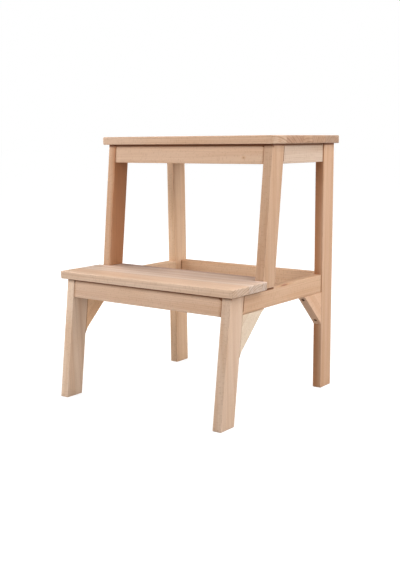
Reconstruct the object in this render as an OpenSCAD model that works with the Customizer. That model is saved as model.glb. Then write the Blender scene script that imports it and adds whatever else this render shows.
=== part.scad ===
// Two-step wooden step stool: solid beech boards and rails, joined with glued dowels.
// Origin on the floor, under the middle of the stool. +X is the user's right when
// facing the steps, +Y is away from the user, +Z is up. Millimetres.

/* [Overall size] */
// Height of the top step above the floor
total_h = 500; // [470:5:530]
// Height of the lower step above the floor
step_h = 246; // [225:1:265]
// Depth from the front feet to the back edge of the top step
total_d = 390; // [380:5:420]

/* [Steps] */
// Thickness of both step boards
board_t = 15; // [14:1:18]
// Radius of the rounded step edges
board_r = 2; // [1:0.5:4]
// Radius of the step corners, seen from above
corner_r = 4; // [2:0.5:6]
// Width of the top step
top_w = 404; // [398:2:420]
// Depth of the top step
top_d = 241.5; // [236:0.5:246]
// Width of the lower step
low_w = 412; // [404:2:424]
// Depth of the lower step at its middle
low_d = 147; // [142:1:150]
// Clear depth of the lower step in front of the upper legs
tread_clear = 110; // [106:1:114]
// Distance from the front of the feet back to the front of the lower step
step_setback = 22; // [20:1:24]

/* [Legs] */
// Width over the outer faces of the legs
frame_w = 391; // [380:1:392]
// Thickness of the legs and rails
stock_t = 18; // [17:1:20]
// Depth of the rear and lower front legs
leg_d = 39.5; // [38:0.5:42]
// Depth of the upper front legs
upper_leg_d = 38; // [36:0.5:40]
// Forward lean of the lower front legs, in degrees
lower_lean = 8; // [6:0.5:9]
// Forward lean of the upper front legs, in degrees
upper_lean = 7; // [6:0.5:8]
// Overhang of the top step behind the rear legs
rear_overhang = 10; // [6:1:14]

/* [Rails] */
// Height of the aprons and rails
rail_h = 35; // [34:1:44]
// Distance of the side rails inside the outer faces of the legs
rail_inset = 2.2; // [0.5:0.1:3]
// Distance of the aprons behind the front or rear faces of the legs
apron_inset = 0.6; // [0.2:0.1:2]

/* [Corner gussets] */
// Thickness of the gussets
gusset_t = 17.5; // [14:0.5:17.5]
// Distance of the gussets inside the outer faces of the legs
gusset_inset = 0.5; // [0.2:0.1:1]
// Length of a front gusset along its rail
front_gusset_rail = 66; // [60:1:76]
// Length of a front gusset along its leg
front_gusset_leg = 72; // [62:1:80]
// Length of both sides of a rear gusset
rear_gusset = 64; // [54:1:68]
// Extra length of the tip that lies against the leg
leg_tip = 6; // [4:1:7]
// Extra length of the tip that lies against the rail
rail_tip = 3; // [2:1:5]

/* [Hand slot] */
// Length of the carrying slot in the top step
slot_l = 100; // [80:5:120]
// Width of the carrying slot in the top step
slot_w = 30; // [25:1:35]

/* [Dowels and screws] */
// Diameter of the dowels
dowel_d = 8; // [6:1:8]
// Length of the dowels in the frame joints
dowel_l = 30; // [26:1:30]
// Length of the dowels under the steps
step_dowel_l = 24; // [20:1:26]
// Distance between the two dowels of a joint
dowel_gap = 17; // [14:1:18]
// Shank diameter of the gusset screws
screw_d = 3.5; // [3:0.5:4]
// Head diameter of the gusset screws
screw_head_d = 7; // [6:0.5:8]
// Length of the gusset screws
screw_l = 28; // [24:1:32]

/* [Hidden] */
$fn = 64;
cut = 1;                        // how far a cutter runs past the face it cuts
hole_fit = 0.05;                // gap round a dowel or a screw in its hole
hole_end = 1;                   // glue room at each end of a dowel
dowel_in_leg = 11;              // how deep a crosswise dowel enters a leg
dowel_in_board = 9.5;           // how deep a step dowel enters a board
dowel_chamfer = 1;              // tapered end of a dowel
notch_fit = 0.3;                // gap between the lower step and the upper legs
head_t = 2.6;                   // height of a screw's countersunk head
head_sink = 0.4;                // how far a screw head lies under the wood
recess = 1.2;                   // straight pocket over a sunk screw head
tip_rise = 5;                   // height of a front gusset's blunt tips over its leg and rail
rear_tip = 1.5;                 // how far a rear gusset's tips run on past its long edge
rear_tip_rise = 2;              // their height over the leg and the rail
screw_rise = 8;                 // where a screw enters the long edge, over the leg or rail
out = frame_w / 2;              // outer face of the legs
inner = out - stock_t;          // inner face of the legs
front = -total_d / 2;           // front of the lower feet
back = total_d / 2;             // back edge of the top step
under_top = total_h - board_t;
under_low = step_h - board_t;
low_front = front + step_setback;
upper_leg_y = low_front + tread_clear;      // front of the upper legs at the lower step
rear_back = back - rear_overhang;           // rear face of the rear legs
rear_front = rear_back - leg_d;             // front face of the rear legs
top_mid_y = back - top_d / 2;
lower_leg_run = leg_d / cos(lower_lean);    // depths of the leaning legs, level
upper_leg_run = upper_leg_d / cos(upper_lean);
rail_out = out - rail_inset;
rail_mid = rail_out - stock_t / 2;
gusset_out = out - gusset_inset;
gusset_mid = gusset_out - gusset_t / 2;
foot_dowel_x = out - stock_t / 2 - rail_inset / 2;
apron_mid_top = under_top - rail_h / 2;
apron_mid_low = under_low - rail_h / 2;
rail_low_bottom = under_low - rail_h;
rear_apron_y = rear_back - apron_inset - stock_t / 2;
step_dowel_x = 0.6 * inner;                 // step dowels in the aprons
top_dowel_y = (upper_leg_front(under_top) + rear_back) / 2;
slot_end = (slot_l - slot_w) / 2;

// Front faces of the leaning legs at height z
function upper_leg_front(z) = upper_leg_y + tan(upper_lean) * (z - step_h);
function lower_leg_front(z) = front + tan(lower_lean) * z;
// Middle of the aprons' thickness at height z
function upper_apron_y(z) = upper_leg_front(z) + apron_inset + stock_t / 2;
function lower_apron_y(z) = lower_leg_front(z) + apron_inset + stock_t / 2;

// ---- shapes ----

// Prism along X from an outline of [y, z] points
module side_prism(x0, x1) {
    translate([x0, 0, 0]) rotate([90, 0, 90]) linear_extrude(x1 - x0) children();
}

// Bar whose front and rear faces lean: y0 and y1 are its front at heights z0 and z1
module leaning_bar(x0, x1, y0, y1, run, z0, z1) {
    side_prism(x0, x1) polygon([[y0, z0], [y0 + run, z0], [y1 + run, z1], [y1, z1]]);
}

// Box from its lowest to its highest corner
module box(low, high) {
    translate(low) cube(high - low);
}

// Rectangle with rounded corners, from its lowest to its highest corner
module round_rect(low, high, r) {
    translate(low + [r, 0]) square([high.x - low.x - 2 * r, high.y - low.y]);
    translate(low + [0, r]) square([high.x - low.x, high.y - low.y - 2 * r]);
    for (x = [low.x + r, high.x - r], y = [low.y + r, high.y - r]) translate([x, y]) circle(r);
}

// Board w wide, y0 to y1 deep, rounded on its edges, cut to the plan outline in children
module step_board(w, y0, y1, z0) {
    z1 = z0 + board_t;
    intersection() {
        side_prism(-w / 2, w / 2) round_rect([y0, z0], [y1, z1], board_r);
        translate([0, y1, 0]) rotate([90, 0, 0]) linear_extrude(y1 - y0)
            round_rect([-w / 2, z0], [w / 2, z1], board_r);
        translate([0, 0, z0]) linear_extrude(board_t) children();
    }
}

// Long round-ended opening along X
module slot() {
    square([2 * slot_end, slot_w], center = true);
    for (x = [-slot_end, slot_end]) translate([x, 0]) circle(d = slot_w);
}

// Both of a left and right pair
module pair() {
    children();
    mirror([1, 0, 0]) children();
}

// Dowel of length l centred at p along a direction: "x", "y" or "z"
module dowel(p, along, l) {
    turn = along == "x" ? [0, 90, 0] : along == "y" ? [90, 0, 0] : [0, 0, 0];
    translate(p) rotate(turn) {
        cylinder(d = dowel_d, h = l - 2 * dowel_chamfer, center = true);
        for (s = [0, 1]) mirror([0, 0, s]) translate([0, 0, l / 2 - dowel_chamfer])
            cylinder(d1 = dowel_d, d2 = dowel_d - 2 * dowel_chamfer, h = dowel_chamfer);
    }
}

// Hole for that dowel
module dowel_hole(p, along, l) {
    turn = along == "x" ? [0, 90, 0] : along == "y" ? [90, 0, 0] : [0, 0, 0];
    translate(p) rotate(turn)
        cylinder(d = dowel_d + 2 * hole_fit, h = l + 2 * hole_end, center = true);
}

// A dowel, or its hole
module dowel_or_hole(p, along, l, hole) {
    if (hole) dowel_hole(p, along, l);
    else dowel(p, along, l);
}

// ---- dowel joints: hole = false draws the dowels, true their holes ----

// Two dowels, one over the other, across the end of an apron at depth y(z)
module apron_joint(z, y_low, y_high, hole) {
    x = inner + dowel_in_leg - dowel_l / 2;
    dowel_or_hole([x, y_low, z - dowel_gap / 2], "x", dowel_l, hole);
    dowel_or_hole([x, y_high, z + dowel_gap / 2], "x", dowel_l, hole);
}

// Two dowels along a side rail, through its end faces at y_low and y_high
module rail_joint(z, y_low, y_high, hole) {
    dowel_or_hole([rail_mid, y_low, z - dowel_gap / 2], "y", dowel_l, hole);
    dowel_or_hole([rail_mid, y_high, z + dowel_gap / 2], "y", dowel_l, hole);
}

module upper_joints(hole) {
    z = apron_mid_top;
    low = z - dowel_gap / 2;
    high = z + dowel_gap / 2;
    pair() {
        apron_joint(z, upper_apron_y(low), upper_apron_y(high), hole);
        apron_joint(z, rear_apron_y, rear_apron_y, hole);
        rail_joint(z, upper_leg_front(low) + upper_leg_run, upper_leg_front(high) + upper_leg_run, hole);
        rail_joint(z, rear_front, rear_front, hole);
    }
}

module lower_joints(hole) {
    z = apron_mid_low;
    low = z - dowel_gap / 2;
    high = z + dowel_gap / 2;
    pair() {
        apron_joint(z, lower_apron_y(low), lower_apron_y(high), hole);
        apron_joint(z, rear_apron_y, rear_apron_y, hole);
        rail_joint(z, lower_leg_front(low) + lower_leg_run, lower_leg_front(high) + lower_leg_run, hole);
        rail_joint(z, rear_front, rear_front, hole);
    }
}

// Dowels that stand the upper legs on the lower side rails
module foot_joints(hole) {
    y = upper_leg_front(under_low) + upper_leg_run / 2;
    pair() for (s = [-1, 1])
        dowel_or_hole([foot_dowel_x, y + s * dowel_gap / 2, under_low], "z", dowel_l, hole);
}

// Dowels under the top step: two in each apron, one in each side rail
module top_step_joints(hole) {
    z = under_top + dowel_in_board - step_dowel_l / 2;
    pair() {
        dowel_or_hole([step_dowel_x, upper_apron_y(z), z], "z", step_dowel_l, hole);
        dowel_or_hole([step_dowel_x, rear_apron_y, z], "z", step_dowel_l, hole);
        dowel_or_hole([rail_mid, top_dowel_y, z], "z", step_dowel_l, hole);
    }
}

// Dowels under the lower step: two in the apron, one in each side rail
module low_step_joints(hole) {
    z = under_low + dowel_in_board - step_dowel_l / 2;
    pair() {
        dowel_or_hole([step_dowel_x, lower_apron_y(z), z], "z", step_dowel_l, hole);
        dowel_or_hole([rail_mid, upper_leg_y - tread_clear / 4, z], "z", step_dowel_l, hole);
    }
}

// ---- gussets and their screws ----

// Outline of a gusset in its corner at [y, z]: rail and leg are its two edges' directions,
// and tips is how far its blunt tips run on along the rail and the leg, and their height
function gusset_outline(c, rail, leg, rail_l, leg_l, tips) = [
    c,
    c + (rail_l + tips[0]) * rail,
    c + (rail_l - tips[2] * rail_l / leg_l) * rail + tips[2] * leg,
    c + (leg_l - tips[2] * leg_l / rail_l) * leg + tips[2] * rail,
    c + (leg_l + tips[1]) * leg
];

front_corner = [lower_leg_front(rail_low_bottom) + lower_leg_run, rail_low_bottom];
rear_corner = [rear_front, rail_low_bottom];
front_leg_dir = [-sin(lower_lean), -cos(lower_lean)];

function screw_seats(c, rail, leg, rail_l, leg_l) = [
    c + (rail_l - screw_rise * rail_l / leg_l) * rail + screw_rise * leg,
    c + (leg_l - screw_rise * leg_l / rail_l) * leg + screw_rise * rail
];

// Wood screw driven along +Z from the origin
module screw() {
    translate([0, 0, head_sink]) {
        cylinder(d1 = screw_head_d, d2 = screw_d, h = head_t);
        cylinder(d = screw_d, h = screw_l);
    }
}

// Hole for that screw, with a pocket over its head
module screw_hole() {
    fit = 2 * hole_fit;
    translate([0, 0, head_sink]) {
        translate([0, 0, -recess - cut]) cylinder(d = screw_head_d + fit, h = recess + cut);
        cylinder(d1 = screw_head_d + fit, d2 = screw_d + fit, h = head_t);
        cylinder(d = screw_d + fit, h = screw_l + hole_end);
    }
}

// Places children at a gusset's two screws, turned square to its long edge
module at_screws(c, rail, leg, rail_l, leg_l) {
    seats = screw_seats(c, rail, leg, rail_l, leg_l);
    edge = seats[0] - seats[1];
    dir = [-edge.y, edge.x] / norm(edge);
    into = dir * (c - seats[0]) > 0 ? dir : -dir;
    for (p = seats) translate([gusset_mid, p.x, p.y]) rotate([-atan2(into.x, into.y), 0, 0]) children();
}

module right_screws(hole) {
    at_screws(front_corner, [1, 0], front_leg_dir, front_gusset_rail, front_gusset_leg)
        screw_or_hole(hole);
    at_screws(rear_corner, [-1, 0], [0, -1], rear_gusset, rear_gusset) screw_or_hole(hole);
}

module screw_or_hole(hole) {
    if (hole) screw_hole();
    else screw();
}

module right_gusset(outline) {
    difference() {
        side_prism(gusset_out - gusset_t, gusset_out) polygon(outline);
        right_screws(true);
    }
}

module right_front_gusset() {
    right_gusset(gusset_outline(front_corner, [1, 0], front_leg_dir, front_gusset_rail, front_gusset_leg,
        [rail_tip, leg_tip, tip_rise]));
}

module right_rear_gusset() {
    right_gusset(gusset_outline(rear_corner, [-1, 0], [0, -1], rear_gusset, rear_gusset,
        [rear_tip, rear_tip, rear_tip_rise]));
}

// ---- steps ----

module top_tread() {
    color("BurlyWood") difference() {
        step_board(top_w, back - top_d, back, under_top)
            round_rect([-top_w / 2, back - top_d], [top_w / 2, back], corner_r);
        translate([0, top_mid_y, under_top - cut]) linear_extrude(board_t + 2 * cut) slot();
        top_step_joints(true);
    }
}

module lower_tread() {
    notch_y = upper_leg_front(step_h) + notch_fit;
    color("BurlyWood") difference() {
        step_board(low_w, low_front, low_front + low_d, under_low) {
            round_rect([-low_w / 2, low_front], [low_w / 2, notch_y], corner_r);
            round_rect([-inner + notch_fit, low_front + low_d / 4],
                [inner - notch_fit, low_front + low_d], board_r);
        }
        pair() translate([0, -notch_fit, 0]) upper_leg_blank(inner - notch_fit, out + notch_fit, cut);
        low_step_joints(true);
    }
}

// ---- legs: each right one is made here, and mirrored for the left ----

// Upper leg without its holes, from x0 to x1, run past its ends by more
module upper_leg_blank(x0, x1, more) {
    z0 = under_low - more;
    z1 = under_top;
    leaning_bar(x0, x1, upper_leg_front(z0), upper_leg_front(z1), upper_leg_run, z0, z1);
}

module right_upper_leg() {
    difference() {
        upper_leg_blank(inner, out, 0);
        upper_joints(true);
        foot_joints(true);
    }
}

module right_lower_leg() {
    difference() {
        leaning_bar(inner, out, lower_leg_front(0), lower_leg_front(under_low), lower_leg_run, 0, under_low);
        lower_joints(true);
        right_screws(true);
    }
}

module right_rear_leg() {
    difference() {
        box([inner, rear_front, 0], [out, rear_back, under_top]);
        upper_joints(true);
        lower_joints(true);
        right_screws(true);
    }
}

// ---- aprons and rails ----

module upper_front_apron() {
    z0 = under_top - rail_h;
    y0 = upper_leg_front(z0) + apron_inset;
    y1 = upper_leg_front(under_top) + apron_inset;
    color("BurlyWood") difference() {
        leaning_bar(-inner, inner, y0, y1, stock_t, z0, under_top);
        upper_joints(true);
        top_step_joints(true);
    }
}

module lower_front_apron() {
    z0 = rail_low_bottom;
    y0 = lower_leg_front(z0) + apron_inset;
    y1 = lower_leg_front(under_low) + apron_inset;
    color("BurlyWood") difference() {
        leaning_bar(-inner, inner, y0, y1, stock_t, z0, under_low);
        lower_joints(true);
        low_step_joints(true);
    }
}

// Level bar between the rear legs with its top at z1
module rear_bar(z1) {
    y1 = rear_back - apron_inset;
    box([-inner, y1 - stock_t, z1 - rail_h], [inner, y1, z1]);
}

module upper_rear_apron() {
    color("BurlyWood") difference() {
        rear_bar(under_top);
        upper_joints(true);
        top_step_joints(true);
    }
}

module lower_rear_rail() {
    color("BurlyWood") difference() {
        rear_bar(under_low);
        lower_joints(true);
    }
}

// Side rail from the rear face of a front leg, y_low and y_high, to the rear leg
module side_rail(y_low, y_high, z1) {
    side_prism(rail_out - stock_t, rail_out)
        polygon([[y_low, z1 - rail_h], [rear_front, z1 - rail_h], [rear_front, z1], [y_high, z1]]);
}

module right_upper_rail() {
    difference() {
        side_rail(upper_leg_front(under_top - rail_h) + upper_leg_run,
            upper_leg_front(under_top) + upper_leg_run, under_top);
        upper_joints(true);
        top_step_joints(true);
    }
}

module right_lower_rail() {
    difference() {
        side_rail(front_corner.x, lower_leg_front(under_low) + lower_leg_run, under_low);
        lower_joints(true);
        foot_joints(true);
        low_step_joints(true);
        right_screws(true);
    }
}

// ---- left and right pieces ----

module left() {
    color("Tan") mirror([1, 0, 0]) children();
}

module right() {
    color("Tan") children();
}

// ---- nodes ----

top_tread();
lower_tread();
left() right_rear_leg();  // rear_leg_left
right() right_rear_leg();  // rear_leg_right
left() right_upper_leg();  // upper_front_leg_left
right() right_upper_leg();  // upper_front_leg_right
left() right_lower_leg();  // lower_front_leg_left
right() right_lower_leg();  // lower_front_leg_right
upper_front_apron();
upper_rear_apron();
left() right_upper_rail();  // upper_side_rail_left
right() right_upper_rail();  // upper_side_rail_right
lower_front_apron();
lower_rear_rail();
left() right_lower_rail();  // lower_side_rail_left
right() right_lower_rail();  // lower_side_rail_right
left() right_front_gusset();  // front_gusset_left
right() right_front_gusset();  // front_gusset_right
left() right_rear_gusset();  // rear_gusset_left
right() right_rear_gusset();  // rear_gusset_right
color("Wheat") upper_joints(false);  // upper_frame_dowels
color("Wheat") lower_joints(false);  // lower_frame_dowels
color("Wheat") foot_joints(false);  // upper_leg_foot_dowels
color("Wheat") top_step_joints(false);  // top_tread_dowels
color("Wheat") low_step_joints(false);  // lower_tread_dowels
color("Goldenrod") pair() right_screws(false);  // gusset_screws
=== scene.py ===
"""Looks of a two-step wooden step stool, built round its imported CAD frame.

Every board, leg, rail and gusset is one solid with eased edges and its own dowel and screw
holes, cut from beech whose rings, rays and fibres run through the whole piece. Dowels and
screws are made with Geometry Nodes. Lengths are in metres.
"""

import logging
import math
from dataclasses import dataclass, field
from enum import Enum

import bmesh
import bpy
from mathutils import Matrix, Vector


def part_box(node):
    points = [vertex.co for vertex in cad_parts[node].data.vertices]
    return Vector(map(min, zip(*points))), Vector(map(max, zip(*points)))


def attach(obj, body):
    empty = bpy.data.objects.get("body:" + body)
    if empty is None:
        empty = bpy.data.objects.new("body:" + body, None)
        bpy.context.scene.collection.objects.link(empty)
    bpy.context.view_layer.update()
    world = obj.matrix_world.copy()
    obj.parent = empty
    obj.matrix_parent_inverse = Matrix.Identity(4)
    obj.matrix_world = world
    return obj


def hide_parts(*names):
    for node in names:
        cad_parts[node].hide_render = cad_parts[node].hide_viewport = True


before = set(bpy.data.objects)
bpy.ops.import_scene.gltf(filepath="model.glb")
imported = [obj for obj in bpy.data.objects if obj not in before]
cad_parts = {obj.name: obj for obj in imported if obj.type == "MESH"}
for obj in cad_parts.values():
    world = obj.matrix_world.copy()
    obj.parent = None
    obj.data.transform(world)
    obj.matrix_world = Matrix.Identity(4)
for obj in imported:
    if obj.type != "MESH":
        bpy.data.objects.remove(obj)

LOG = logging.getLogger("step_stool")
BODY = "root"
HAIR = 1e-5                 # tolerance when corners of a CAD node are compared
SHARP_TURN = math.radians(50)
STRAIGHT = 1e-4             # an outline's turn below which a corner counts as none
LEAST_CORNER = 4e-5         # smallest rounding of a corner once a rim has eaten into it
NEAR_END = 0.3              # share of a pin's length that counts as one of its ends
HEART_REACH = 0.4           # range over which the hearts of a board's staves may lie
WANDER = 0.02               # how far the rings wander from true circles
Point = tuple[float, float]
Triple = tuple[float, float, float]
Colour = tuple[float, float, float, float]
Sides = tuple[float, float, float, float]                   # one value for each side of an outline
Corner = tuple[float, float, float, float, float]           # two coordinates, height, edge, painted shade
Socket = bpy.types.NodeSocket

# How often each part of the figure changes in a metre, along the fibres and across them.
BENDS, SLOW_BENDS = (1.7, 9, 9), (1.3, 7, 7)
STREAKS, CLOUDS = (2.0, 70, 70), (7, 22, 22)
FIBRES, PORES, RAYS = (14, 850, 850), (110, 4200, 4200), (260, 1500, 90)

# What each effect multiplies the wood's colour by.
STREAK_TINT: Colour = (0.88, 0.79, 0.70, 1)
CLOUD_TINT: Colour = (0.97, 0.93, 0.87, 1)
CORE_TINT: Colour = (0.80, 0.59, 0.42, 1)
END_TINT: Colour = (0.86, 0.86, 0.86, 1)
HALO_TINT: Colour = (0.92, 0.82, 0.72, 1)       # round a knot
GLUE_TINT: Colour = (0.74, 0.64, 0.56, 1)       # between two staves
SHADE_TINT: Colour = (0.80, 0.70, 0.62, 1)      # painted shade beside joints and under overhangs
JOINT_SHADOW_TINT: Colour = (0.50, 0.34, 0.22, 1)      # painted shadow line in joints and under overhangs

RUBBED_AND_HIGHLIT: Colour = (0.80, 0.66, 0.54, 1)          # the paler wood of an eased edge: from use, and a painted highlight


# ---- wiring nodes ----


class Wires:
    """Adds nodes to one tree and joins them with short calls."""

    def __init__(self, tree: bpy.types.NodeTree) -> None:
        """Args: tree: the tree that gets the nodes."""
        self.tree = tree

    def feed(self, socket: Socket, value: object) -> None:
        """Links a socket to value, or sets it to value where that isn't a socket."""
        if isinstance(value, bpy.types.NodeSocket):
            self.tree.links.new(value, socket)
        elif value is not None:
            socket.default_value = value

    def node(self, kind: str, values: dict | None = None, **settings: object) -> bpy.types.Node:
        """Adds one node.

        Args:
            kind: the node's type name.
            values: what its inputs get, by name or number.
            settings: the node's own properties.

        Returns:
            The new node.
        """
        made = self.tree.nodes.new(kind)
        for key, value in settings.items():
            setattr(made, key, value)
        for key, value in (values or {}).items():
            self.feed(made.inputs[key], value)
        return made

    def math(self, operation: str, *terms: object, clamp: bool = False) -> Socket:
        """Adds a Math node over terms and returns its value."""
        made = self.node("ShaderNodeMath", dict(enumerate(terms)), operation=operation)
        made.use_clamp = clamp
        return made.outputs[0]

    def vector(self, operation: str, *terms: object) -> Socket:
        """Adds a Vector Math node over terms and returns its vector, or its value where it has one."""
        made = self.node("ShaderNodeVectorMath", dict(enumerate(terms)), operation=operation)
        one_number = operation in ("LENGTH", "DOT_PRODUCT")
        return made.outputs["Value" if one_number else "Vector"]

    def parts(self, vector: Socket) -> tuple[Socket, Socket, Socket]:
        """The three parts of a vector."""
        made = self.node("ShaderNodeSeparateXYZ", {0: vector})
        return made.outputs[0], made.outputs[1], made.outputs[2]

    def join(self, x: object, y: object, z: object) -> Socket:
        """A vector from its three parts."""
        return self.node("ShaderNodeCombineXYZ", {0: x, 1: y, 2: z}).outputs[0]

    def noise(self, vector: Socket, stretch: Point | tuple, detail: float = 2.0) -> Socket:
        """Noise from 0 to 1 over vector, whose parts are first multiplied by stretch."""
        scaled = self.vector("MULTIPLY", vector, stretch)
        values = {"Vector": scaled, "Scale": 1.0, "Detail": detail}
        return self.node("ShaderNodeTexNoise", values).outputs[0]

    def smooth(self, value: Socket, low: float, high: float) -> Socket:
        """0 at low and 1 at high, with a smooth step between them."""
        values = {"Value": value, "From Min": low, "From Max": high}
        return self.node("ShaderNodeMapRange", values, interpolation_type="SMOOTHSTEP").outputs[0]

    def ramp(self, value: Socket, stops: tuple, steps: bool = False) -> Socket:
        """A colour ramp over value. Each stop is (position, grey) or (position, red, green, blue)."""
        made = self.node("ShaderNodeValToRGB", {0: value})
        made.color_ramp.interpolation = "CONSTANT" if steps else "LINEAR"
        elements = made.color_ramp.elements
        while len(elements) < len(stops):
            elements.new(0.5)
        for element, (at, *colour) in zip(elements, stops):
            element.position = at
            element.color = (*(colour * 3 if len(colour) == 1 else colour), 1.0)
        return made.outputs[0]

    def mix(self, share: object, first: object, second: object, blend: str = "MIX") -> Socket:
        """Mixes two colours."""
        made = self.node("ShaderNodeMix", {0: share, 6: first, 7: second}, data_type="RGBA")
        made.blend_type = blend
        return made.outputs[2]

    def tint(self, share: object, colour: object, factor: Colour) -> Socket:
        """Multiplies a colour by factor where share is 1."""
        return self.mix(share, colour, self.mix(1.0, colour, factor, "MULTIPLY"))


def new_material(name: str) -> tuple[bpy.types.Material, Wires, bpy.types.Node]:
    """Starts a material and returns it with its wires and its Principled shader."""
    made = bpy.data.materials.new(name)
    made.use_nodes = True
    return made, Wires(made.node_tree), made.node_tree.nodes["Principled BSDF"]


def new_group(kind: str, name: str, inputs: dict, outputs: dict) -> tuple[Wires, dict, bpy.types.Node]:
    """Starts a node group with named sockets.

    Args:
        kind: "ShaderNodeTree" or "GeometryNodeTree".
        name: the group's name.
        inputs: for each input its kind of socket, without the prefix, and its default value.
        outputs: for each output its kind of socket.

    Returns:
        The group's wires, its inputs by name, and its output node.
    """
    tree = bpy.data.node_groups.new(name, kind)
    for label, (socket, default) in inputs.items():
        made = tree.interface.new_socket(label, in_out="INPUT", socket_type="NodeSocket" + socket)
        if default is not None:
            made.default_value = default
    for label, socket in outputs.items():
        tree.interface.new_socket(label, in_out="OUTPUT", socket_type="NodeSocket" + socket)
    wires = Wires(tree)
    start = wires.node("NodeGroupInput")
    return wires, {label: start.outputs[label] for label in inputs}, wires.node("NodeGroupOutput")


# ---- finishes ----


class Run(Enum):
    """Which way a piece's fibres run: turns the stool's axes so that X lies along them."""

    ACROSS = (0.0, 0.0, 0.0)
    FRONT_TO_BACK = (0.0, 0.0, -90.0)
    UPRIGHT = (0.0, 90.0, 0.0)
    FRONT_BRACE = (-43.0, 0.0, -90.0)
    REAR_BRACE = (45.0, 0.0, -90.0)


@dataclass(frozen=True)
class Cut:
    """Where in a log one piece was cut, and the tone that it came out with.

    The heart is the middle of the log, square to the fibres and from the piece's centre. Wood
    closer to it than core is the redder and darker core wood.
    """

    log: float
    tone: Triple = (1.0, 1.0, 1.0)
    heart: Point = (0.02, -0.09)
    core: float = 0.0
    lean: float = 0.0


@dataclass(frozen=True)
class Mark:
    """A knot or a small dark dash on a piece's surface, with a paler halo round it."""

    place: Triple
    stretch: Triple = (0.7, 1.0, 1.0)       # less than 1 draws it out
    reach: float = 0.0026
    colour: Triple = (0.40, 0.26, 0.17)

    def paint(self, wires: Wires, place: Socket, colour: Socket) -> Socket:
        """Adds the mark to the wood's colour.

        Args:
            wires: the material's wires.
            place: the point in the stool's frame.
            colour: the wood's colour.

        Returns:
            The colour with the mark on it.
        """
        away = wires.vector("MULTIPLY", wires.vector("SUBTRACT", place, self.place), self.stretch)
        away = wires.vector("LENGTH", away)
        halo = wires.math("SUBTRACT", 1.0, wires.smooth(away, self.reach * 0.4, self.reach * 2.6))
        centre = wires.math("SUBTRACT", 1.0, wires.smooth(away, self.reach * 0.3, self.reach))
        return wires.mix(centre, wires.tint(halo, colour, HALO_TINT), (*self.colour, 1.0))


@dataclass(frozen=True)
class Stave:
    """One strip of a glued-up board."""

    start: float                            # where it starts, as a share of the board's depth
    tone: Triple
    heart: Point                            # the middle of its log, from the board's centre


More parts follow.
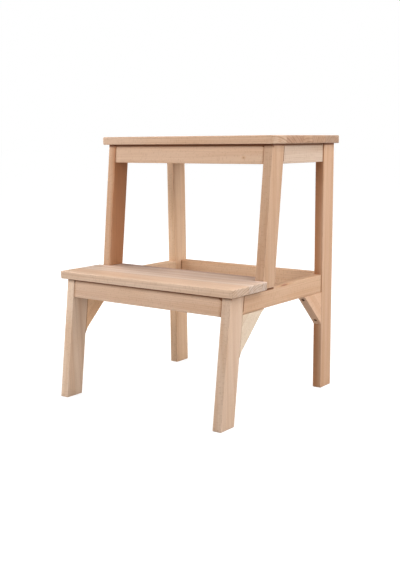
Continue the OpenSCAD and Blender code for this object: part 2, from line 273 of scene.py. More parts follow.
def beech_figure() -> bpy.types.NodeTree:
    """Builds the group for solid beech: growth rings, fibres, rays and tone, from one place in the log."""
    wires, take, out = new_group(
        "ShaderNodeTree",
        "Beech figure",
        {
            "Grain": ("Vector", None),
            "End": ("Float", 0.0),
            "Log": ("Float", 0.0),
            "Heart": ("Vector", (0.0, 0.02, -0.09)),
            "Core": ("Float", 0.0),
            "Ring Width": ("Float", 0.003),
            "Ring Strength": ("Float", 0.5),
            "Streak Strength": ("Float", 0.5),
            "Ray Strength": ("Float", 0.5),
            "Pale": ("Color", (0.65, 0.47, 0.35, 1)),
            "Late": ("Color", (0.45, 0.28, 0.18, 1)),
            "Ray": ("Color", (0.40, 0.24, 0.15, 1)),
        },
        {"Color": "Color", "Height": "Float", "Gloss": "Float"},
    )
    place = wires.vector("ADD", take["Grain"], wires.vector("MULTIPLY", wires.join(
        take["Log"], take["Log"], take["Log"]), (0.731, 1.37, 2.11)))

    # Distance from the heart of the log, with the slow wander of a real trunk.
    wander_y = wires.math("MULTIPLY", wires.math("SUBTRACT", wires.noise(place, BENDS), 0.5), WANDER)
    moved = wires.vector("ADD", place, (3.1, 5.7, 1.3))
    wander_z = wires.math("MULTIPLY", wires.math("SUBTRACT", wires.noise(moved, SLOW_BENDS), 0.5), WANDER)
    x, y, z = wires.parts(wires.vector("SUBTRACT", take["Grain"], take["Heart"]))
    y, z = wires.math("ADD", y, wander_y), wires.math("ADD", z, wander_z)
    radius = wires.vector("LENGTH", wires.join(0.0, y, z))
    turn = wires.math("ARCTAN2", y, z)

    # One ring is pale for most of its width and ends in a narrow darker line.
    rings = wires.math("DIVIDE", radius, take["Ring Width"])
    year = wires.math("MULTIPLY", wires.noise(wires.join(rings, take["Log"], 0.0), (0.31, 1, 1), 1.0), 2.6)
    rings = wires.math("ADD", rings, year)
    within = wires.math("FRACT", rings)
    late = wires.ramp(within, ((0.0, 0.35), (0.1, 0.0), (0.55, 0.25), (0.88, 1.0), (1.0, 0.35)))
    strong = wires.node("ShaderNodeTexWhiteNoise", {1: wires.math("FLOOR", rings)},
                        noise_dimensions="1D").outputs[0]
    late = wires.math("MULTIPLY", late, wires.math("MULTIPLY_ADD", strong, 0.6, 0.4))

    # Fibres, slow streaks of tone, and the short rays that fleck beech.
    fibre = wires.noise(place, FIBRES, 3.0)
    streak = wires.noise(place, STREAKS, 2.5)
    cloud = wires.noise(place, CLOUDS, 2.0)
    along = wires.math("MULTIPLY", turn, radius)
    cells = wires.vector("MULTIPLY", wires.join(x, along, radius), RAYS)
    ray = wires.node("ShaderNodeTexVoronoi", {"Vector": cells, "Scale": 1.0}, feature="F1").outputs[0]
    ray = wires.math("SUBTRACT", 1.0, wires.smooth(ray, 0.10, 0.42))
    pore = wires.noise(place, PORES, 1.0)

    core = wires.math("SUBTRACT", 1.0, wires.smooth(
        wires.math("SUBTRACT", radius, take["Core"]), -0.006, 0.006))
    ends = take["End"]
    ring_share = wires.math("MULTIPLY", late, wires.math(
        "MULTIPLY", take["Ring Strength"], wires.math("MULTIPLY_ADD", ends, 1.4, 1.0)), clamp=True)
    colour = wires.mix(ring_share, take["Pale"], take["Late"])
    slow = wires.math("MULTIPLY", wires.smooth(streak, 0.42, 0.68), take["Streak Strength"])
    colour = wires.tint(slow, colour, STREAK_TINT)
    warm = wires.math("MULTIPLY", wires.smooth(cloud, 0.45, 0.7), take["Streak Strength"])
    colour = wires.tint(warm, colour, CLOUD_TINT)
    fine = wires.math("MULTIPLY", wires.smooth(fibre, 0.5, 0.78), 0.32)
    colour = wires.mix(fine, colour, take["Late"])
    colour = wires.tint(core, colour, CORE_TINT)
    fleck = wires.math("MULTIPLY", ray, wires.math("MULTIPLY", take["Ray Strength"], 0.55))
    colour = wires.mix(fleck, colour, take["Ray"])
    wires.feed(out.inputs["Color"], wires.tint(ends, colour, END_TINT))

    relief = wires.math("ADD", wires.math("MULTIPLY", fibre, 0.5), wires.math("MULTIPLY", pore, 0.35))
    relief = wires.math("SUBTRACT", relief, wires.math("MULTIPLY", late, 0.25))
    wires.feed(out.inputs["Height"], wires.math("SUBTRACT", relief, wires.math("MULTIPLY", ray, 0.15)))
    wires.feed(out.inputs["Gloss"], wires.math("ADD", wires.math("MULTIPLY", late, 0.5),
                                               wires.math("MULTIPLY", ray, 0.5), clamp=True))
    return wires.tree


def edge_wear_highlight_and_shade() -> bpy.types.NodeTree:
    """Builds the group for eased edges and joints: edges go paler in patches, from use and as a painted
    highlight, and joints and sides under an overhang get painted shade with a dark painted shadow line.
    """
    wires, take, out = new_group(
        "ShaderNodeTree",
        "Edge wear, highlight and joint shade",
        {
            "Color": ("Color", (0.6, 0.45, 0.35, 1)),
            "Edge": ("Float", 0.0),
            "Seam": ("Float", 0.0),
            "Grain": ("Vector", None),
            "Wear And Highlight": ("Float", 0.3),
            "Shade Strength": ("Float", 0.5),
        },
        {"Color": "Color", "Wear And Highlight": "Float"},
    )
    # Eased edges go paler in patches: from use, and as a painted highlight where the rounded edges catch the
    # light.
    patchy = wires.noise(take["Grain"], (40, 90, 90), 2.0)
    rubbed_and_highlit = wires.math("MULTIPLY", wires.smooth(take["Edge"], 0.55, 1.0), wires.smooth(patchy, 0.3, 0.7))
    rubbed_and_highlit = wires.math("MULTIPLY", rubbed_and_highlit, take["Wear And Highlight"])
    colour = wires.mix(rubbed_and_highlit, take["Color"], wires.mix(0.6, take["Color"], RUBBED_AND_HIGHLIT))
    # Painted shade: a soft band beside joints and under overhangs, then a darker painted shadow line right in
    # them.
    shade = wires.math("MULTIPLY", wires.smooth(take["Seam"], 0.05, 1.0), take["Shade Strength"])
    colour = wires.tint(shade, colour, SHADE_TINT)
    shadow_line = wires.math("MULTIPLY", wires.smooth(take["Seam"], 0.72, 1.0), take["Shade Strength"])
    wires.feed(out.inputs["Color"], wires.tint(shadow_line, colour, JOINT_SHADOW_TINT))
    wires.feed(out.inputs["Wear And Highlight"], rubbed_and_highlit)
    return wires.tree


def glued_staves() -> bpy.types.NodeTree:
    """Builds the group for a board glued up from staves: each has its own tone and its own log."""
    wires, take, out = new_group(
        "ShaderNodeTree",
        "Glued staves",
        {"Grain": ("Vector", None), "Heart": ("Color", (0.5, 0.5, 0.5, 1)),
         "Tone": ("Color", (1, 1, 1, 1)), "Seam": ("Float", 0.0)},
        {"Grain": "Vector", "Tone": "Color"},
    )
    shift = wires.vector("MULTIPLY", wires.vector("SUBTRACT", take["Heart"], (0.5, 0.5, 0.5)),
                         (3.0, HEART_REACH, HEART_REACH))
    wires.feed(out.inputs["Grain"], wires.vector("SUBTRACT", take["Grain"], shift))
    wires.feed(out.inputs["Tone"], wires.tint(take["Seam"], take["Tone"], GLUE_TINT))
    return wires.tree


@dataclass(frozen=True)
class BeechFinish:
    """Beech of one record slot with a clear matt coat, shared by every piece in the slot."""

    slot: str
    pale: Triple = (0.640, 0.455, 0.335)
    late: Triple = (0.430, 0.260, 0.165)
    ray: Triple = (0.400, 0.235, 0.145)
    ring_width: float = 0.0032
    ring_strength: float = 0.34
    streak_strength: float = 0.55
    ray_strength: float = 0.5
    # how strongly eased edges go paler: from use, and as a painted highlight
    wear_and_highlight: float = 0.15
    # how dark the painted shade at joints and under overhangs is
    shade_strength: float = 1.0
    roughness: float = 0.52
    late_gloss: float = -0.08       # change of roughness in late wood and rays
    worn_gloss: float = -0.12       # and on worn edges
    end_rough: float = 0.15         # and in end grain
    relief: float = 0.00012
    glue_line: float = 0.003        # half of a glue line's width, as a share of the board's depth

    def material(self, name: str, run: Run, middle: Vector, cut: Cut, width: float = 0.0,
                 staves: tuple[Stave, ...] = (), mark: Mark | None = None,
                 bare: Point | None = None) -> bpy.types.Material:
        """Makes one piece's material.

        Args:
            name: the piece's name.
            run: which way its fibres run.
            middle: the piece's centre.
            cut: where in a log it was cut.
            width: width of the board, where it is glued up from staves.
            staves: its staves, from the front.
            mark: its knot or streak, if it has one.
            bare: front and underside, as y and z, of the part whose painted shade is left out.

        Returns:
            The new material.
        """
        made, wires, shader = new_material(f"{self.slot}.{name}")
        angles = [math.radians(a) for a in run.value]
        place = wires.node("ShaderNodeTexCoord").outputs["Object"]
        centred = wires.node("ShaderNodeMapping", {"Vector": place, "Location": -middle}).outputs[0]
        turned = wires.node("ShaderNodeMapping", {"Vector": centred, "Rotation": angles}).outputs[0]
        grain = wires.node("ShaderNodeMapping", {
            "Vector": turned, "Rotation": (0.0, 0.0, math.radians(cut.lean))}).outputs[0]
        normal = wires.node("ShaderNodeMapping", {
            "Vector": wires.node("ShaderNodeNewGeometry").outputs["Normal"], "Rotation": angles}).outputs[0]
        end = wires.smooth(wires.math("ABSOLUTE", wires.parts(normal)[0]), 0.45, 0.9)
        tone = (*cut.tone, 1.0)
        if staves:
            share = wires.math("MULTIPLY_ADD", wires.parts(turned)[1], 1.0 / width, 0.5)
            grain, tone = self.glue_up(wires, share, grain, tone, staves)
        figure = wires.node("ShaderNodeGroup", {
            "Grain": grain, "End": end, "Log": cut.log, "Heart": (0.0, *cut.heart), "Core": cut.core,
            "Ring Width": self.ring_width, "Ring Strength": self.ring_strength,
            "Streak Strength": self.streak_strength, "Ray Strength": self.ray_strength,
            "Pale": (*self.pale, 1.0), "Late": (*self.late, 1.0), "Ray": (*self.ray, 1.0),
        }, node_tree=bpy.data.node_groups["Beech figure"])
        colour = wires.mix(1.0, figure.outputs["Color"], tone, "MULTIPLY")
        if mark is not None:
            colour = mark.paint(wires, place, colour)
        edge = wires.node("ShaderNodeAttribute", attribute_name="edge").outputs["Fac"]
        # The painted shade at joints and under overhangs comes from a vertex mask, and is left out behind
        # bare[0] and above bare[1].
        joint_shade = wires.node("ShaderNodeAttribute", attribute_name="joint_shade").outputs["Fac"]
        if bare is not None:
            _, back, up = wires.parts(place)
            covered = wires.math("MAXIMUM", wires.math("LESS_THAN", back, bare[0]),
                                 wires.math("LESS_THAN", up, bare[1]))
            joint_shade = wires.math("MULTIPLY", joint_shade, covered)
        edges_and_shade = wires.node("ShaderNodeGroup", {
            "Color": colour, "Edge": edge, "Seam": joint_shade, "Grain": grain, "Wear And Highlight": self.wear_and_highlight,
            "Shade Strength": self.shade_strength}, node_tree=bpy.data.node_groups["Edge wear, highlight and joint shade"])
        wires.feed(shader.inputs["Base Color"], edges_and_shade.outputs["Color"])
        rough = wires.math("MULTIPLY_ADD", figure.outputs["Gloss"], self.late_gloss, self.roughness)
        rough = wires.math("MULTIPLY_ADD", edges_and_shade.outputs["Wear And Highlight"], self.worn_gloss, rough)
        wires.feed(shader.inputs["Roughness"], wires.math("MULTIPLY_ADD", end, self.end_rough, rough))
        bump = wires.node("ShaderNodeBump", {"Height": figure.outputs["Height"], "Distance": self.relief,
                                             "Strength": 0.8})
        wires.feed(shader.inputs["Normal"], bump.outputs[0])
        return made

    def glue_up(self, wires: Wires, share: Socket, grain: Socket, tone: Colour,
                staves: tuple[Stave, ...]) -> tuple[Socket, Socket]:
        """Gives each stave of a board its own log and tone.

        Args:
            wires: the material's wires.
            share: how far back in the board a point lies, from 0 to 1.
            grain: the board's own place in its log.
            tone: the board's own tone.
            staves: the staves, from the front.

        Returns:
            The place in the log and the tone, stave by stave.
        """
        hearts = wires.ramp(share, tuple(
            (s.start, 0.5 + 0.1 * i, 0.5 + s.heart[0] / HEART_REACH, 0.5 + s.heart[1] / HEART_REACH)
            for i, s in enumerate(staves)), steps=True)
        tones = wires.ramp(share, tuple((s.start, *s.tone) for s in staves), steps=True)
        line = wires.ramp(share, tuple(stop for s in staves[1:] for stop in (
            (s.start - self.glue_line, 0.0), (s.start, 1.0), (s.start + self.glue_line, 0.0))))
        glued = wires.node("ShaderNodeGroup", {
            "Grain": grain, "Heart": hearts, "Tone": tones, "Seam": line},
            node_tree=bpy.data.node_groups["Glued staves"])
        return glued.outputs["Grain"], wires.mix(1.0, glued.outputs["Tone"], tone, "MULTIPLY")


@dataclass(frozen=True)
class SteelFinish:
    """Dull passivated steel of the gusset screws."""

    slot: str = "screw_metal"
    bright: Triple = (0.34, 0.20, 0.13)
    dull: Triple = (0.17, 0.09, 0.055)
    roughness: float = 0.42

    def material(self) -> bpy.types.Material:
        """Makes the screws' material."""
        made, wires, shader = new_material(self.slot + ".screws")
        place = wires.node("ShaderNodeTexCoord").outputs["Object"]
        stain = wires.noise(place, (420, 420, 420), 3.0)
        scratch = wires.noise(place, (2600, 900, 2600), 1.0)
        colour = wires.mix(wires.smooth(stain, 0.35, 0.7), (*self.bright, 1.0), (*self.dull, 1.0))
        wires.feed(shader.inputs["Base Color"], colour)
        shader.inputs["Metallic"].default_value = 1.0
        wires.feed(shader.inputs["Roughness"], wires.math("MULTIPLY_ADD", stain, 0.25, self.roughness))
        bump = wires.node("ShaderNodeBump", {"Height": scratch, "Distance": 0.00003, "Strength": 0.5})
        wires.feed(shader.inputs["Normal"], bump.outputs[0])
        return made


# ---- solids with eased edges ----


def new_mesh(bm: bmesh.types.BMesh, name: str) -> bpy.types.Mesh:
    """Turns bm into a mesh and frees it."""
    mesh = bpy.data.meshes.new(name)
    bm.to_mesh(mesh)
    bm.free()
    return mesh


def in_scene(name: str, data: bpy.types.ID) -> bpy.types.Object:
    """Puts a new object with its data in the scene."""
    made = bpy.data.objects.new(name, data)
    bpy.context.scene.collection.objects.link(made)
    return made


def settle_modifiers(piece: bpy.types.Object) -> bpy.types.Mesh:
    """Gives a piece the mesh that its modifiers make, with its sharp edges set, and clears them."""
    graph = bpy.context.evaluated_depsgraph_get()
    graph.update()
    mesh = bpy.data.meshes.new_from_object(piece.evaluated_get(graph))
    piece.modifiers.clear()
    old, piece.data = piece.data, mesh
    bpy.data.meshes.remove(old)
    mesh.name = piece.name
    mesh.shade_smooth()
    mesh.set_sharp_from_angle(angle=SHARP_TURN)
    return mesh


@dataclass(frozen=True)
class Outline:
    """A solid's outline, anticlockwise, how its edges are eased, and where it gets painted shade. Side i runs
    from point i to the next.
    """

    points: tuple[Point, ...]
    corners: tuple[float, ...]      # rounding of each corner, seen in the outline's plane
    rims: tuple[float, ...]         # rounding over each side, onto the two faces
    joint_shades: tuple[float, ...]        # painted shade along each side: 1 where it closes against another piece, more for a wider line
    end_shade: float = 0.0           # painted shade round both faces, 1 where they close against other pieces
    shade_spill: float = 0.0              # the painted shade that a side closing against another piece spreads onto the sides next to it
    margin: float = 0.005           # how far the flats' own mesh lies inside the easing
    steps: int = 4                  # facets of each corner and rim
    inside: bool = False            # True for an opening, whose wood lies outside the outline

    def ring(self, angle: float, extra: float) -> list[Corner]:
        """One ring of vertices round the outline.

        Args:
            angle: how far round the rim, from 0 on the side to a quarter turn on the face.
            extra: how much further in than the rim.

        Returns:
            For each vertex its two coordinates, how far it lies below the face, 1 at a corner, and its
            painted shade.
        """
        count = len(self.points)
        way = -1.0 if self.inside else 1.0
        inset = [way * (r * (1 - math.cos(angle)) + extra) for r in self.rims]
        drop = [r * (1 - math.sin(angle)) for r in self.rims]
        points = [Vector(p) for p in self.points]
        along = [(points[(i + 1) % count] - p).normalized() for i, p in enumerate(points)]
        inward = [Vector((-a.y, a.x)) for a in along]
        arcs = []
        for i, point in enumerate(points):
            j = i - 1
            turn = along[j].x * along[i].y - along[j].y * along[i].x
            theta = math.atan2(turn, along[j].dot(along[i]))
            arc = []
            if abs(theta) < STRAIGHT:
                for k in range(self.steps + 1):
                    t = k / self.steps
                    s = t * t * (3 - 2 * t)
                    at = point + along[i] * (2 * t - 1) * self.corners[i]
                    at = at + inward[i] * (inset[j] * (1 - s) + inset[i] * s)
                    arc.append((at, drop[j] * (1 - s) + drop[i] * s, 0.0,
                                self.joint_shades[j] * (1 - s) + self.joint_shades[i] * s))
                arcs.append(arc)
                continue
            corner = point + Vector((inset[j] * inward[i].y - inset[i] * inward[j].y,
                                     inset[i] * inward[j].x - inset[j] * inward[i].x)) / turn
            most = max(inset[i], inset[j]) if way > 0 else min(inset[i], inset[j])
            radius = self.corners[i] if theta < 0 else max(self.corners[i] - most, LEAST_CORNER)
            side = 1.0 if theta > 0 else -1.0
            centre = corner - along[j] * radius * math.tan(abs(theta) / 2) + inward[j] * side * radius
            for k in range(self.steps + 1):
                t = k / self.steps
                spoke = Matrix.Rotation(theta * t, 2) @ (inward[j] * -side * radius)
                shade_spill = self.shade_spill if self.joint_shades[j] or self.joint_shades[i] else 0.0
                arc.append((centre + spoke, drop[j] * (1 - t) + drop[i] * t, 1.0,
                            max(self.joint_shades[j] * (1 - t), self.joint_shades[i] * t, shade_spill)))
            arcs.append(arc)
        found = []
        for i, arc in enumerate(arcs):
            found += arc
            start, end = arc[-1][0], arcs[(i + 1) % count][0][0]
            room = (end - start).length
            step = (end - start).normalized() * min(self.margin, 0.33 * room)
            found += [(start + step, drop[i], 0.0, self.joint_shades[i]), (end - step, drop[i], 0.0, self.joint_shades[i])]
        return [(at.x, at.y, below, corner, joint_shade) for at, below, corner, joint_shade in found]

    def stack(self, low: float, high: float) -> list[list[Corner]]:
        """The rings from the low face round the side to the high face, as (u, v, height, edge, painted
        shade).
        """
        quarter = math.pi / 2
        climb = [quarter * (1 - k / self.steps) for k in range(self.steps + 1)]
        middle = min(self.margin, 0.3 * (high - low - 2 * max(self.rims)))
        lower = [[(u, v, low + d, 0.0, 0.0) for u, v, d, _, _ in self.ring(quarter, self.margin)]]
        upper = [[(u, v, high - d, 0.0, 0.0) for u, v, d, _, _ in self.ring(quarter, self.margin)]]
        for angle in climb:
            ring = self.ring(angle, 0.0)
            lower.append([(u, v, low + d, 1.0, max(s, self.end_shade)) for u, v, d, _, s in ring])
            upper.append([(u, v, high - d, 1.0, max(s, self.end_shade)) for u, v, d, _, s in ring])
        side = self.ring(0.0, 0.0)
        lower.append([(u, v, low + d + middle, c, s * c) for u, v, d, c, s in side])
        upper.append([(u, v, high - d - middle, c, s * c) for u, v, d, c, s in side])
        return lower + upper[::-1]


class Plane(Enum):
    """The plane an outline lies in: how its two coordinates and the height over it become X, Y and Z."""

    SIDE = "side"
    PLAN = "plan"

    def place(self, u: float, v: float, height: float) -> Triple:
        """The point in the stool's frame."""
        return (height, u, v) if self is Plane.SIDE else (u, v, height)


def wooden_solid(name: str, outline: Outline, plane: Plane, low: float, high: float,
                 opening: Outline | None = None) -> bpy.types.Object:
    """Builds a solid over an outline, with every edge eased.

    Args:
        name: the piece's name.
        outline: its outline.
        plane: the plane of the outline.
        low: where it starts across that plane.
        high: where it ends.
        opening: an opening through both faces.

    Returns:
        The new object, with the attribute edge and the painted-shade mask on its vertices.
    """
    bm = bmesh.new()
    edge = bm.verts.layers.float.new("edge")
    joint_shade = bm.verts.layers.float.new("joint_shade")
    ends = []
    for shape in filter(None, (outline, opening)):
        rings = []
        for ring in shape.stack(low, high):
            verts = []
            for u, v, height, edge_share, shade_share in ring:
                vert = bm.verts.new(plane.place(u, v, height))
                vert[edge], vert[joint_shade] = edge_share, shade_share
                verts.append(vert)
            rings.append(verts)
        count = len(rings[0])
        for lower, upper in zip(rings, rings[1:]):
            for i in range(count):
                j = (i + 1) % count
                bm.faces.new((lower[i], lower[j], upper[j], upper[i]))
        ends.append((rings[0], rings[-1]))
    for caps in zip(*ends):
        if len(caps) == 1:
            bm.faces.new(caps[0])
            continue
        bm.edges.ensure_lookup_table()
        loops = [bm.edges.get((ring[i - 1], ring[i])) for ring in caps for i in range(len(ring))]
        bmesh.ops.triangle_fill(bm, use_beauty=True, use_dissolve=False, edges=loops)
    bmesh.ops.remove_doubles(bm, verts=bm.verts, dist=1e-6)
    bmesh.ops.recalc_face_normals(bm, faces=bm.faces)
    return in_scene(name, new_mesh(bm, name))


# ---- holes ----


@dataclass(frozen=True)
class Pin:
    """One dowel or screw as the CAD holds it."""

    start: Vector
    end: Vector
    radius: float

    @property
    def along(self) -> Vector:
        """Direction from the start to the end. A screw starts at its head."""
        return (self.end - self.start).normalized()


def pins(node: str) -> list[Pin]:
    """Finds the separate dowels or screws of one CAD node."""
    bm = bmesh.new()
    bm.from_mesh(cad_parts[node].data)
    bmesh.ops.remove_doubles(bm, verts=bm.verts, dist=HAIR)
    left, found = set(bm.verts), []
    while left:
        island, front = set(), {min(left, key=lambda v: tuple(round(c, 5) for c in v.co))}
        while front:
            island |= front
            front = {e.other_vert(v) for v in front for e in v.link_edges} - island
        left -= island
        # A set has no order of its own, so the points are sorted to give the same pins each run.
        points = [Vector(co) for co in sorted(v.co.to_tuple() for v in island)]
        far = max(points, key=lambda p: (p - points[0]).length)
        near = max(points, key=lambda p: (p - far).length)
        close = NEAR_END * (far - near).length
        ends = [[p for p in points if (p - tip).length < close] for tip in (near, far)]
        centres = [sum(end, Vector()) / len(end) for end in ends]
        axis = (centres[1] - centres[0]).normalized()
        reach = [(p - centres[0]).dot(axis) for p in points]
        width = [((p - centres[0]) - axis * r).length for p, r in zip(points, reach)]
        wide = reach[width.index(max(width))]
        start, end = centres[0] + axis * min(reach), centres[0] + axis * max(reach)
        if wide - min(reach) > max(reach) - wide:
            start, end = end, start
        found.append(Pin(start, end, max(width)))
    bm.free()
    return sorted(found, key=lambda p: tuple(round(c, 4) for c in p.start))


def turned_shape(bm: bmesh.types.BMesh, origin: Vector, along: Vector, profile: tuple[Point, ...],
                 facets: int = 32) -> None:
    """Adds a closed shape turned about a line.

    Args:
        bm: the mesh that gets the shape.
        origin: start of the line.
        along: direction of the line.
        profile: for each ring its radius and its distance along the line.
        facets: facets round the line.
    """
    turn = along.to_track_quat("Z", "Y").to_matrix()
    rings = [[bm.verts.new(origin + turn @ Vector((
        radius * math.cos(2 * math.pi * k / facets), radius * math.sin(2 * math.pi * k / facets), at)))
        for k in range(facets)] for radius, at in profile]
    for lower, upper in zip(rings, rings[1:]):
        for k in range(facets):
            n = (k + 1) % facets
            bm.faces.new((lower[k], lower[n], upper[n], upper[k]))
    bm.faces.new(rings[0][::-1])
    bm.faces.new(rings[-1])


@dataclass
class Joinery:
    """The dowels and screws, and the holes that they stand in."""

    fit: float = 0.00005
    glue_room: float = 0.001
    head_radius: float = 0.0035
    head_height: float = 0.0026
    shank_radius: float = 0.00175
    pocket: float = 0.0022
    dowel_nodes: tuple[str, ...] = ("upper_frame_dowels", "lower_frame_dowels", "upper_leg_foot_dowels",
                                    "top_tread_dowels", "lower_tread_dowels")
    screw_node: str = "gusset_screws"
    cutter: bpy.types.Object | None = field(default=None, init=False)

    def make_cutter(self) -> None:
        """Builds one solid with the shape of every hole."""
        bm = bmesh.new()
        for node in self.dowel_nodes:
            for pin in pins(node):
                radius = pin.radius + self.fit
                length = (pin.end - pin.start).length
                turned_shape(bm, pin.start, pin.along, ((radius, -self.glue_room),
                                                        (radius, length + self.glue_room)))
        for pin in pins(self.screw_node):
            head, shank = self.head_radius + self.fit, self.shank_radius + self.fit
            length = (pin.end - pin.start).length
            turned_shape(bm, pin.start, pin.along, (
                (head, -self.pocket), (head, 0.0), (shank, self.head_height),
                (shank, length + self.glue_room)))
        bmesh.ops.recalc_face_normals(bm, faces=bm.faces)
        self.cutter = in_scene("hole_shapes", new_mesh(bm, "hole_shapes"))

    def drill(self, piece: bpy.types.Object) -> None:
        """Cuts the holes that reach into a piece, and keeps its attribute edge and its painted-shade mask."""
        kept = {tuple(round(c, 6) for c in v.co): n for n, v in enumerate(piece.data.vertices)}
        marks = {name: [a.value for a in piece.data.attributes[name].data] for name in ("edge", "joint_shade")}
        modifier = piece.modifiers.new("holes", "BOOLEAN")
        modifier.object, modifier.operation, modifier.solver = self.cutter, "DIFFERENCE", "EXACT"
        mesh = settle_modifiers(piece)
        if not mesh.polygons:
            raise ValueError(f"nothing is left of {piece.name} once its holes are cut")
        for name, values in marks.items():
            if name in mesh.attributes:
                mesh.attributes.remove(mesh.attributes[name])
            fresh = mesh.attributes.new(name, "FLOAT", "POINT")
            for n, vertex in enumerate(mesh.vertices):
                was = kept.get(tuple(round(c, 6) for c in vertex.co))
                fresh.data[n].value = 0.0 if was is None else values[was]
        mesh.materials.clear()

    def remove_cutter(self) -> None:
        """Deletes the hole shapes once every piece is drilled."""
        mesh = self.cutter.data
        bpy.data.objects.remove(self.cutter)
        bpy.data.meshes.remove(mesh)
        self.cutter = None

    def points(self, node: str) -> bpy.types.Object:
        """A vertex at the start of each pin of a node, with its direction as the attribute run."""
        found = pins(node)
        mesh = bpy.data.meshes.new(node + "_points")
        mesh.from_pydata([p.start for p in found], [], [])
        run = mesh.attributes.new("run", "FLOAT_VECTOR", "POINT")
        run.data.foreach_set("vector", [c for p in found for c in p.along])
        return in_scene(node.replace("_", "-"), mesh)

    def place_pins(self, node: str, tree: bpy.types.NodeTree, values: dict[str, object],
                   slot: str) -> bpy.types.Object:
        """Runs a pin tree over the places of a node's pins.

        Args:
            node: the CAD node that the pins stand for.
            tree: the Geometry Nodes tree.
            values: the tree's inputs by name.
            slot: the record's material slot, not used.

        Returns:
            One plain mesh object with every pin.
        """
        made = self.points(node)
        modifier = made.modifiers.new("pins", "NODES")
        modifier.node_group = tree
        for socket in tree.interface.items_tree:
            if socket.item_type == "SOCKET" and socket.in_out == "INPUT" and socket.name in values:
                modifier[socket.identifier] = values[socket.name]
        settle_modifiers(made)
        settle(made, slot, node)
        return made


def pin_tree(name: str, inputs: dict) -> tuple[Wires, dict, bpy.types.Node]:
    """Starts a tree that puts a shape at each point, turned along the point's attribute run."""
    return new_group("GeometryNodeTree", name, {"Places": ("Geometry", None), **inputs,
                                                "Finish": ("Material", None)}, {"Pins": "Geometry"})


def put_at_places(wires: Wires, take: dict, out: bpy.types.Node, shape: Socket) -> None:
    """Ends a pin tree: instances of shape at the places, realized and finished."""
    run = wires.node("GeometryNodeInputNamedAttribute", {"Name": "run"}, data_type="FLOAT_VECTOR").outputs[0]
    turn = wires.node("FunctionNodeAlignRotationToVector", {"Vector": run}, axis="Z").outputs[0]
    copies = wires.node("GeometryNodeInstanceOnPoints", {"Points": take["Places"], "Instance": shape,
                                                         "Rotation": turn}).outputs[0]
    real = wires.node("GeometryNodeRealizeInstances", {0: copies}).outputs[0]
    dressed = wires.node("GeometryNodeSetMaterial", {"Geometry": real, "Material": take["Finish"]})
    wires.feed(out.inputs["Pins"], dressed.outputs[0])


def turned_line(wires: Wires, length: Socket, radius: Socket, rings: int, facets: int) -> Socket:
    """A closed tube up from the origin, with radius as a field over its height.

    Args:
        wires: the tree's wires.
        length: the tube's length.
        radius: its radius, which may read the position.
        rings: rings of vertices along it.
        facets: facets round it.

    Returns:
        The mesh.
    """
    line = wires.node("GeometryNodeCurvePrimitiveLine", {"End": wires.join(0.0, 0.0, length)}).outputs[0]
    line = wires.node("GeometryNodeResampleCurve", {"Curve": line, "Count": rings}).outputs[0]
    line = wires.node("GeometryNodeSetCurveRadius", {"Curve": line, "Radius": radius}).outputs[0]
    circle = wires.node("GeometryNodeCurvePrimitiveCircle", {"Resolution": facets, "Radius": 1.0}).outputs[0]
    tube = wires.node("GeometryNodeCurveToMesh", {"Curve": line, "Profile Curve": circle, "Fill Caps": True})
    if "Scale" in tube.inputs:
        wires.feed(tube.inputs["Scale"], radius)
    return tube.outputs[0]


def spread(wires: Wires, shape: Socket, factor: Socket) -> Socket:
    """Moves a shape's vertices away from the Z axis by a factor."""
    place = wires.node("GeometryNodeInputPosition").outputs[0]
    moved = wires.vector("MULTIPLY", place, wires.join(factor, factor, 1.0))
    return wires.node("GeometryNodeSetPosition", {"Geometry": shape, "Position": moved}).outputs[0]


def fluted_dowels() -> bpy.types.NodeTree:
    """Builds the tree for beech dowels: fluted for the glue, and tapered at both ends."""
    wires, take, out = pin_tree("Fluted dowels", {
        "Radius": ("Float", 0.004), "Length": ("Float", 0.03), "Taper": ("Float", 0.001),
        "Flutes": ("Float", 16.0), "Flute Depth": ("Float", 0.05)})
    x, y, z = wires.parts(wires.node("GeometryNodeInputPosition").outputs[0])
    nearest = wires.math("MINIMUM", z, wires.math("SUBTRACT", take["Length"], z))
    cut = wires.math("MAXIMUM", wires.math("SUBTRACT", take["Taper"], nearest), 0.0)
    radius = wires.math("SUBTRACT", take["Radius"], cut)
    body = turned_line(wires, take["Length"], radius, rings=31, facets=64)
    wave = wires.math("COSINE", wires.math("MULTIPLY", wires.math("ARCTAN2", y, x), take["Flutes"]))
    dip = wires.math("MULTIPLY", wires.math("MAXIMUM", wave, 0.0), take["Flute Depth"])
    put_at_places(wires, take, out, spread(wires, body, wires.math("SUBTRACT", 1.0, dip)))
    return wires.tree


